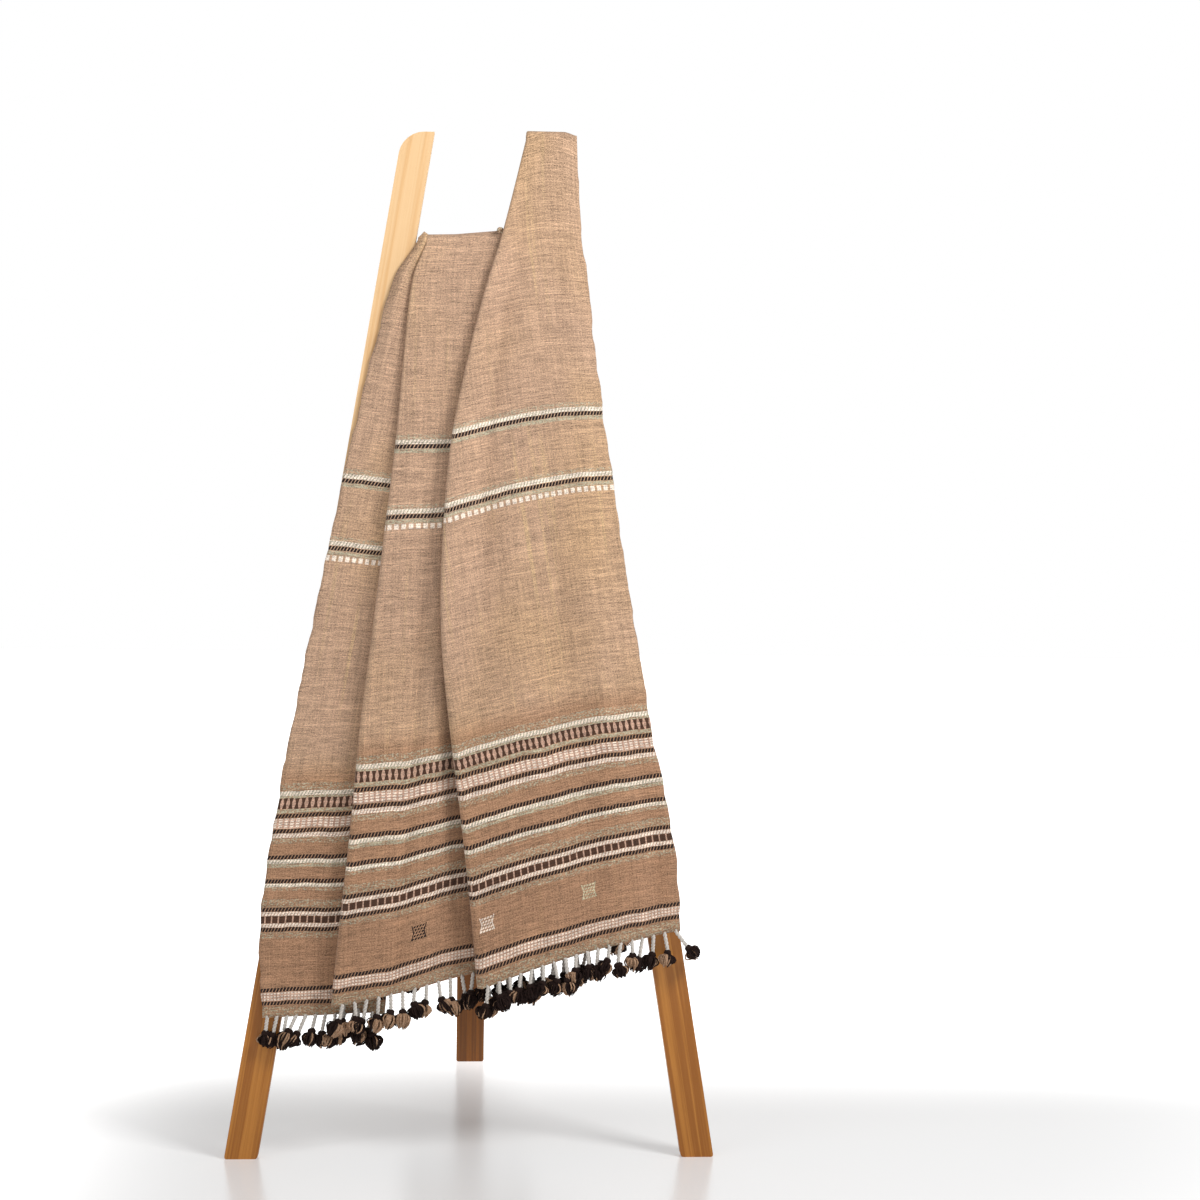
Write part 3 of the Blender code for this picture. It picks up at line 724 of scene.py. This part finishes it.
class Shader:
    """A material's nodes, added one call at a time."""

    def __init__(self, name):
        self.material = bpy.data.materials.new(name)
        self.material.use_nodes = True
        self.tree = self.material.node_tree
        self.main = self.tree.nodes["Principled BSDF"]

    def put(self, socket, value):
        """Link an output to the socket, or set it."""
        if isinstance(value, bpy.types.NodeSocket):
            self.tree.links.new(value, socket)
        else:
            socket.default_value = value

    def add(self, kind, settings=None, **inputs):
        node = self.tree.nodes.new("ShaderNode" + kind)
        for name, value in (settings or {}).items():
            setattr(node, name, value)
        for name, value in inputs.items():
            self.put(node.inputs[name.replace("_", " ")], value)
        return node

    def math(self, operation, *values, clamp=False):
        node = self.add("Math", {"operation": operation, "use_clamp": clamp})
        for socket, value in zip(node.inputs, values):
            self.put(socket, value)
        return node.outputs[0]

    def mix(self, factor, a, b):
        node = self.add("Mix", {"data_type": "RGBA"})
        self.put(node.inputs[0], factor)
        self.put(node.inputs[6], a)
        self.put(node.inputs[7], b)
        return node.outputs[2]

    def scaled(self, coordinates, scale):
        node = self.add("VectorMath", {"operation": "MULTIPLY"})
        self.put(node.inputs[0], coordinates)
        self.put(node.inputs[1], scale)
        return node.outputs[0]

    def noise(self, coordinates, scale, detail=2.0, roughness=0.5):
        node = self.add("TexNoise", Vector=self.scaled(coordinates, scale), Scale=1.0, Detail=detail)
        self.put(node.inputs["Roughness"], roughness)
        return node.outputs["Fac"]

    def spread(self, value, low, high, to_low=0.0, to_high=1.0):
        """A soft ramp between two values."""
        node = self.add("MapRange", {"interpolation_type": "SMOOTHSTEP"}, Value=value)
        for name, number in (("From Min", low), ("From Max", high), ("To Min", to_low), ("To Max", to_high)):
            node.inputs[name].default_value = number
        return node.outputs[0]

    def bump(self, height, distance, strength=1.0):
        node = self.add("Bump", Height=height, Distance=distance, Strength=strength)
        self.put(self.main.inputs["Normal"], node.outputs[0])


# Stripes, from the hem up. The v column is the distance along the cloth in millimetres.
STRIPES = (
    # from v, to v, pattern, colour, second colour
    (0, 17, "sparse", SAGE, None),
    (19.5, 25.5, "twill", DARK, None),
    (26, 39.5, "checks", CREAM, PINK),
    (40, 46, "twill", DARK, None),
    (121, 130, "sparse", SAGE, None),
    (131, 137, "twill", DARK, None),
    (137.5, 143.5, "dashes", CREAM, PINK),
    (144, 154.5, "squares", BROWN, PINK),
    (155, 161, "dashes", CREAM, PINK),
    (161.5, 167.5, "twill", DARK, None),
    (168, 180, "sparse", SAGE, None),
    (193, 199, "sparse", SAGE, None),
    (198.5, 204, "dashes", CREAM, SAGE),
    (204.5, 210.5, "twill", DARK, None),
    (228, 234, "speckle", SAGE, None),
    (234, 240, "dashes", CREAM, SAGE),
    (240.5, 246.5, "twill", DARK, None),
    (264, 273, "sparse", SAGE, None),
    (273, 279.5, "dashes", CREAM, PINK),
    (280, 286, "twill", DARK, None),
    (287, 302, "blocks", CREAM, PINK),
    (303, 309, "twill", DARK, None),
    (310, 316, "speckle", SAGE, None),
    (316.5, 332.5, "hourglass", BROWN, PINK),
    (332.5, 336, "speckle", SAGE, None),
    (336, 343, "dashes", CREAM, SAGE),
    (344, 355, "sparse", SAGE, None),
    (687, 695, "dots", CREAM, None),
    (696, 702, "speckle", SAGE, None),
    (703, 709, "twill", DARK, None),
    (710, 717, "dashes", CREAM, SAGE),
    (718, 723, "sparse", SAGE, None),
    (797, 803, "speckle", SAGE, None),
    (803.5, 809.5, "twill", DARK, None),
    (810, 817, "dashes", CREAM, SAGE),
    (817, 825, "sparse", SAGE, None),
)

# The hourglass band: pitch, middle line, and widths as parts of the pitch
HOURGLASS_PITCH = 0.0098
HOURGLASS_LINE = 0.3245
HOURGLASS_FLARE = 25.0
HOURGLASS_WAIST = 0.17

# Small woven motifs in the plain ground near the hem
MOTIFS = (
    # u, v, colour
    (0.3035, 0.0890, CREAM),
    (0.1420, 0.0912, srgb(188, 179, 149)),
    (0.8290, 0.0880, DARK),
)
MOTIF_HALF = 0.0117
MOTIF_WAIST = 0.0088
MOTIF_FLARE = 0.27
MOTIF_ROW = 0.0047
MOTIF_PITCH = 0.0046
MOTIF_EDGE = 0.0016
MOTIF_SLANT = 0.6
MOTIF_DUTY = 0.66


# How far the woven lines stray, and where the ground turns to rust towards the hem
LINE_WANDER = 0.0040
RUST_ZONE = (0.395, 0.345)
RUST_SHARE = 0.85


def patterns(shader, u, v):
    """One mask for each weave pattern, from the distances across (u) and along (v) the cloth."""
    def wave(value, size, duty):
        """Stitches of one pitch, which cover a part of it."""
        return shader.math("LESS_THAN", shader.math("FRACT", shader.math("DIVIDE", value, size)), duty)

    slanted = shader.math("MULTIPLY_ADD", v, 0.45, u)
    back_slanted = shader.math("MULTIPLY_ADD", v, 0.5, u)
    rows = wave(v, 0.0045, 0.60)
    made = {
        "twill": wave(slanted, 0.0052, 0.71),
        "dashes": wave(back_slanted, 0.0052, 0.66),
        "checks": shader.math("MULTIPLY", wave(u, 0.0053, 0.60), rows),
        "dots": wave(u, 0.0105, 0.62),
        "squares": wave(u, 0.0112, 0.80),
        "blocks": shader.math("MULTIPLY", wave(u, 0.0088, 0.62), wave(v, 0.0038, 0.62)),
    }
    part = shader.math("FRACT", shader.math("DIVIDE", u, HOURGLASS_PITCH))
    centre = shader.math("ABSOLUTE", shader.math("SUBTRACT", part, 0.5))
    waist = shader.math("ABSOLUTE", shader.math("SUBTRACT", v, HOURGLASS_LINE))
    width = shader.math("MULTIPLY_ADD", waist, HOURGLASS_FLARE, HOURGLASS_WAIST)
    made["hourglass"] = shader.math("LESS_THAN", centre, width)
    coordinates = shader.add("CombineXYZ", X=u, Y=v, Z=0.0).outputs[0]
    grain = shader.noise(coordinates, (260.0, 420.0, 1.0), detail=1.0)
    made["speckle"] = shader.spread(grain, 0.42, 0.52, 0.20, 0.95)
    made["sparse"] = shader.spread(grain, 0.50, 0.58, 0.05, 0.85)
    return made


def motif_mask(shader, u, v, centre_u, centre_v):
    """An hourglass of short slanted stitches."""
    across = shader.math("ABSOLUTE", shader.math("SUBTRACT", u, centre_u))
    along = shader.math("ABSOLUTE", shader.math("SUBTRACT", v, centre_v))
    width = shader.math("MULTIPLY_ADD", along, MOTIF_FLARE, MOTIF_WAIST)
    within_sides = shader.math("LESS_THAN", across, width)
    inside = shader.math("MULTIPLY", within_sides, shader.math("LESS_THAN", along, MOTIF_HALF))
    slanted = shader.math("MULTIPLY_ADD", v, MOTIF_SLANT, u)
    stitch = shader.math("FRACT", shader.math("DIVIDE", slanted, MOTIF_PITCH))
    from_end = shader.math("SUBTRACT", v, centre_v - MOTIF_HALF)
    row = shader.math("FRACT", shader.math("DIVIDE", from_end, MOTIF_ROW))
    in_stitch = shader.math("LESS_THAN", stitch, MOTIF_DUTY)
    stitches = shader.math("MULTIPLY", in_stitch, shader.math("LESS_THAN", row, MOTIF_DUTY))
    sides = shader.math("LESS_THAN", shader.math("SUBTRACT", width, across), MOTIF_EDGE)
    stitches = shader.math("MAXIMUM", stitches, sides)
    return shader.math("MULTIPLY", inside, stitches)


def wool_material():
    shader = Shader("striped_wool")
    coordinates = shader.add("UVMap", {"uv_map": "weave"}).outputs[0]
    split = shader.add("SeparateXYZ", Vector=coordinates)
    u, v = split.outputs[0], split.outputs[1]
    # Hand weaving: the lines wander a little
    wander = shader.noise(coordinates, (26.0, 9.0, 1.0), detail=3.0)
    v_line = shader.math("MULTIPLY_ADD", wander, LINE_WANDER, shader.math("SUBTRACT", v, LINE_WANDER / 2))
    # The same bands at both ends
    v_line = shader.math("MINIMUM", v_line, shader.math("SUBTRACT", FLAT_SIZE[1], v_line))
    # Ground: broad patches, single weft threads and faint warp streaks
    patches = shader.spread(shader.noise(coordinates, (3.2, 2.3, 1.0), detail=3.0), 0.40, 0.66)
    colour = shader.mix(patches, ROSY, GOLDEN)
    wefts = shader.noise(coordinates, (40.0, 440.0, 1.0), detail=3.0, roughness=0.7)
    wide_wefts = shader.noise(coordinates, (5.0, 110.0, 1.0), detail=2.0)
    warps = shader.noise(coordinates, (300.0, 12.0, 1.0), detail=2.0, roughness=0.6)
    grain = shader.noise(coordinates, (480.0, 520.0, 1.0), detail=2.0, roughness=0.8)
    slubs = shader.noise(coordinates, (120.0, 300.0, 1.0), detail=1.0)
    golden = shader.noise(coordinates, (85.0, 2.2, 1.0), detail=2.0)
    colour = shader.mix(shader.spread(golden, 0.58, 0.74, 0.0, 0.45), colour, PALE_GOLD)
    shade = shader.spread(wefts, 0.30, 0.72, -0.24, 0.34)
    for streaks, amount in ((wide_wefts, 0.08), (warps, 0.12), (grain, 0.42)):
        shade = shader.math("ADD", shade, shader.spread(streaks, 0.30, 0.70, -amount, amount))
    threads = shader.spread(shader.noise(coordinates, (10.0, 300.0, 1.0), detail=2.0), 0.50, 0.66, 0.0, 0.24)
    where = shader.spread(shader.noise(coordinates, (5.0, 14.0, 1.0), detail=1.0), 0.42, 0.58)
    shade = shader.math("MULTIPLY_ADD", threads, where, shade)
    shade = shader.math("SUBTRACT", shade, shader.spread(slubs, 0.74, 0.80, 0.0, 0.40))
    height = shader.math("ADD", shader.spread(wefts, 0.25, 0.75, 0.0, 0.5), shader.spread(
        grain, 0.3, 0.7, 0.0, 0.5))
    low_zone = shader.spread(v_line, *RUST_ZONE)
    colour = shader.mix(shader.math("MULTIPLY", low_zone, RUST_SHARE), colour, RUST)
    masks = patterns(shader, u, v_line)
    for low, high, pattern, first, second in STRIPES:
        inside = shader.math("COMPARE", v_line, (low + high) / 2000, (high - low) / 2000)
        if second is not None:
            colour = shader.mix(inside, colour, second)
        factor = shader.math("MULTIPLY", inside, masks[pattern])
        colour = shader.mix(factor, colour, first)
        height = shader.math("MULTIPLY_ADD", factor, 0.8, height)
    for centre_u, centre_v, stitch in MOTIFS:
        colour = shader.mix(motif_mask(shader, u, v, centre_u, centre_v), colour, stitch)
    brightness = shader.math("ADD", shade, 1.0)
    lit = shader.add("VectorMath", {"operation": "SCALE"})
    shader.put(lit.inputs[0], colour)
    shader.put(lit.inputs["Scale"], brightness)
    shader.put(shader.main.inputs["Base Color"], lit.outputs[0])
    shader.main.inputs["Roughness"].default_value = 0.92
    shader.main.inputs["Sheen Weight"].default_value = 0.10
    shader.main.inputs["Sheen Roughness"].default_value = 0.6
    shader.main.inputs["Specular IOR Level"].default_value = 0.25
    shader.bump(height, 0.0008, 0.8)
    return shader.material


def cord_material():
    shader = Shader("pale_cord")
    place = shader.add("TexCoord").outputs["Object"]
    streaks = shader.noise(place, (900.0, 900.0, 500.0), detail=2.0)
    colour = shader.mix(streaks, srgb(176, 168, 160), srgb(232, 226, 218))
    shader.put(shader.main.inputs["Base Color"], colour)
    shader.main.inputs["Roughness"].default_value = 0.85
    shader.bump(streaks, 0.0003)
    return shader.material


def tassel_material(name, first, second):
    shader = Shader(name)
    place = shader.add("TexCoord").outputs["Object"]
    fibres = shader.noise(place, (1300.0, 1300.0, 420.0), detail=2.0, roughness=0.6)
    shader.put(shader.main.inputs["Base Color"], shader.mix(shader.spread(fibres, 0.35, 0.75), first, second))
    shader.main.inputs["Roughness"].default_value = 0.9
    shader.main.inputs["Specular IOR Level"].default_value = 0.15
    shader.bump(fibres, 0.0005)
    return shader.material


# Heights between which the boards turn from honey to amber
AMBER_ZONE = (1.15, 0.35)


def pine_material(name, tilt, top, low_down):
    """Varnished pine with its grain along a board of that tilt, darker towards the floor. Each end has a
    colour for the early wood and one for the late wood."""
    shader = Shader(name)
    place = shader.add("TexCoord").outputs["Object"]
    turned = shader.add("Mapping", {"vector_type": "POINT"}, Vector=place)
    turned.inputs["Rotation"].default_value = tilt
    board = turned.outputs[0]
    height = shader.add("SeparateXYZ", Vector=place).outputs[2]
    bend = shader.noise(board, (7.0, 7.0, 1.4), detail=2.0)
    bands = shader.noise(board, (95.0, 40.0, 1.1), detail=3.0, roughness=0.6)
    fine = shader.noise(board, (420.0, 300.0, 7.0), detail=3.0, roughness=0.65)
    blotch = shader.noise(board, (14.0, 14.0, 5.0), detail=3.0)
    late_wood = shader.spread(bands, 0.42, 0.60, 0.0, 0.85)
    grain = shader.math("ADD", late_wood, shader.spread(fine, 0.3, 0.75, 0.0, 0.40))
    light = shader.mix(grain, *top)
    deep = shader.mix(grain, *low_down)
    low = shader.spread(shader.math("MULTIPLY_ADD", bend, 0.25, height), *AMBER_ZONE)
    colour = shader.mix(low, light, deep)
    colour = shader.mix(shader.spread(blotch, 0.60, 0.80, 0.0, 0.30), colour, low_down[1])
    shader.put(shader.main.inputs["Base Color"], colour)
    shader.put(shader.main.inputs["Roughness"], shader.spread(fine, 0.3, 0.7, 0.34, 0.48))
    shader.main.inputs["Specular IOR Level"].default_value = 0.30
    shader.main.inputs["Coat Weight"].default_value = 0.10
    shader.main.inputs["Coat Roughness"].default_value = 0.25
    shader.bump(grain, 0.0004, 0.6)
    return shader.material


def steel_material():
    shader = Shader("satin_steel")
    place = shader.add("TexCoord").outputs["Object"]
    scratches = shader.noise(place, (900.0, 60.0, 900.0), detail=3.0)
    colour = shader.mix(scratches, srgb(176, 172, 164), srgb(204, 200, 192))
    shader.put(shader.main.inputs["Base Color"], colour)
    shader.main.inputs["Metallic"].default_value = 1.0
    shader.put(shader.main.inputs["Roughness"], shader.spread(scratches, 0.2, 0.8, 0.28, 0.45))
    return shader.material


def finish_stand():
    splay, lean, slope = atan(RAIL_SPLAY), atan(RAIL_LEAN), atan(LEG_SLOPE)
    honey = (srgb(224, 188, 142), srgb(214, 171, 120))
    amber = (srgb(188, 124, 52), srgb(152, 92, 30))
    # A darker brown for the rear leg: painted shade
    shaded_brown = (srgb(134, 78, 12), srgb(104, 58, 6))
    finishes = {
        "rail_left": ((lean, -splay, 0.0), honey, amber),
        "rail_right": ((lean, splay, 0.0), honey, amber),
        "crosspiece": ((0.0, pi / 2, 0.0), honey, amber),
        # The rear leg takes the rails' amber at its top and the darker brown below: painted shade, since it
        # stands in shade behind the cloth
        "rear_leg": ((-slope, 0.0, 0.0), amber, shaded_brown),
    }
    for node, finish in finishes.items():
        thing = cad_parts[node]
        thing.data.materials.clear()
        thing.data.materials.append(pine_material(f"pine_{node}", *finish))
    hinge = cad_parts["leg_hinge"]
    hinge.data.materials.clear()
    hinge.data.materials.append(steel_material())


# Studio

SURROUNDINGS = 0.34
FLOOR_HALF = 30.0
# The floor glows, which is painted light: weakly beside the stand, where it lifts the shadows, and in full
# further off, behind and to the left, where it fades into the white surroundings
FLOOR_GLOW = 0.18
GLOW_REACH = (0.9, 2.6)
FLOOR_GLOWS = (
    # axis, from, to: where the floor's painted glow rises from grey to full white
    (1, -0.10, 0.80),
    (0, -0.35, -1.10),
)
LAMPS = (
    # name, place, aimed at, size, power
    ("key", (1.9, -1.9, 2.8), (0.0, -0.25, 1.25), 1.0, 69.0),
    ("fill", (-2.4, -2.6, 2.4), (0.0, -0.25, 0.9), 2.2, 16.0),
)


def make_studio():
    mesh = bpy.data.meshes.new("studio_floor")
    turns = ((-1, -1), (1, -1), (1, 1), (-1, 1))
    corners = [(x * FLOOR_HALF, y * FLOOR_HALF, 0.0) for x, y in turns]
    mesh.from_pydata(corners, [], [(0, 1, 2, 3)])
    floor = bpy.data.objects.new("studio_floor", mesh)
    bpy.context.scene.collection.objects.link(floor)
    shader = Shader("pale_floor")
    place = shader.add("TexCoord").outputs["Object"]
    reach = shader.add("VectorMath", {"operation": "LENGTH"})
    shader.put(reach.inputs[0], place)
    # Painted light: the floor's emission, low beside the stand and rising to full white with distance, behind
    # and to the left
    glow = shader.spread(reach.outputs["Value"], *GLOW_REACH, FLOOR_GLOW)
    parts = shader.add("SeparateXYZ", Vector=place).outputs
    for axis, low, high in FLOOR_GLOWS:
        glow = shader.math("ADD", glow, shader.spread(parts[axis], low, high), clamp=True)
    shader.main.inputs["Base Color"].default_value = (0.76, 0.76, 0.76, 1.0)
    shader.main.inputs["Roughness"].default_value = 0.22
    shader.main.inputs["Specular IOR Level"].default_value = 0.40
    shader.main.inputs["Emission Color"].default_value = (1.0, 1.0, 1.0, 1.0)
    shader.put(shader.main.inputs["Emission Strength"], glow)
    mesh.materials.append(shader.material)
    # The white surroundings are seen in full, and light the cloth less than the lamps do
    world = bpy.data.worlds.new("white_studio")
    world.use_nodes = True
    nodes, links = world.node_tree.nodes, world.node_tree.links
    background = nodes["Background"]
    background.inputs["Color"].default_value = (1.0, 1.0, 1.0, 1.0)
    ray = nodes.new("ShaderNodeLightPath")
    strength = nodes.new("ShaderNodeMapRange")
    strength.inputs["To Min"].default_value = 1.0
    strength.inputs["To Max"].default_value = SURROUNDINGS
    links.new(ray.outputs["Is Diffuse Ray"], strength.inputs["Value"])
    links.new(strength.outputs[0], background.inputs["Strength"])
    bpy.context.scene.world = world
    for name, place, aim, width, power in LAMPS:
        data = bpy.data.lights.new(name, "AREA")
        data.size = width
        data.energy = power
        lamp = bpy.data.objects.new(name, data)
        lamp.location = place
        lamp.rotation_euler = (Vector(aim) - Vector(place)).to_track_quat("-Z", "Y").to_euler()
        bpy.context.scene.collection.objects.link(lamp)
    view = bpy.context.scene.view_settings
    view.view_transform = "Standard"
    view.look = "None"


def make_camera():
    data = bpy.data.cameras.new("photo_camera")
    data.lens = CAMERA_LENS
    data.sensor_width = CAMERA_SENSOR
    data.sensor_height = CAMERA_SENSOR
    camera = bpy.data.objects.new("photo_camera", data)
    yaw, roll = radians(CAMERA_YAW), radians(CAMERA_ROLL)
    forward = Vector((sin(yaw), cos(yaw), 0.0))
    right = Vector((cos(yaw), -sin(yaw), 0.0))
    up = Vector((0.0, 0.0, 1.0))
    x_axis = right * cos(roll) + up * sin(roll)
    y_axis = -right * sin(roll) + up * cos(roll)
    turn = Matrix((x_axis, y_axis, -forward)).transposed()
    camera.matrix_world = Matrix.Translation(CAMERA_PLACE) @ turn.to_4x4()
    bpy.context.scene.collection.objects.link(camera)
    bpy.context.scene.camera = camera


make_camera()
throw = make_throw()
front_fringe = make_fringe("front_fringe", "fringe_front", False)
back_fringe = make_fringe("back_fringe", "fringe_back", True)
curl = make_curl("gathered_corner")
finish_stand()
make_studio()
